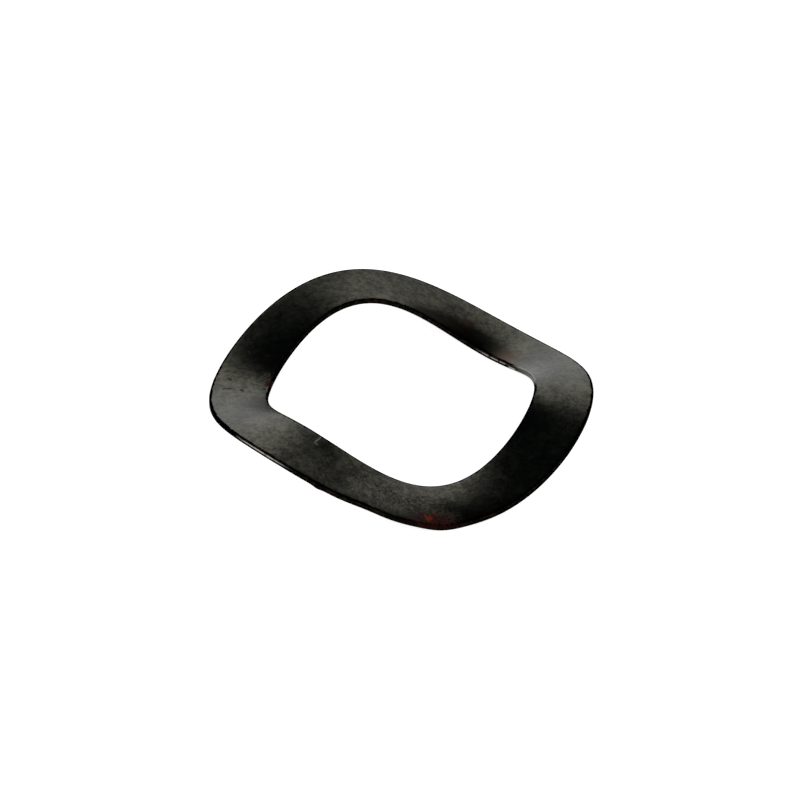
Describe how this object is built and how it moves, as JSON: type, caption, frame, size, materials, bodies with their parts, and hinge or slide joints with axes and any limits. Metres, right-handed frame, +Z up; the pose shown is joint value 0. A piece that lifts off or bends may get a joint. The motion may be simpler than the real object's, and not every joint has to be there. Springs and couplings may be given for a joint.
{
  "type": "wave washer",
  "caption": "Waved spring washer of thin hardened spring steel, a ring that flattens under load to take up end play or preload a bearing.",
  "frame": {"origin": "on the axis of the hole, in the plane that the three troughs rest on", "axes": "+Z up along the axis of the hole, +X towards one crest of the wave"},
  "size_m": [0.0274, 0.0274, 0.0033],
  "materials": {
    "spring_steel": "hardened and oil-blackened spring steel, semi-gloss, with faint scale and light red rust"
  },
  "bodies": {
    "root": {"wave_washer": "spring_steel"}
  },
  "joints": []
}
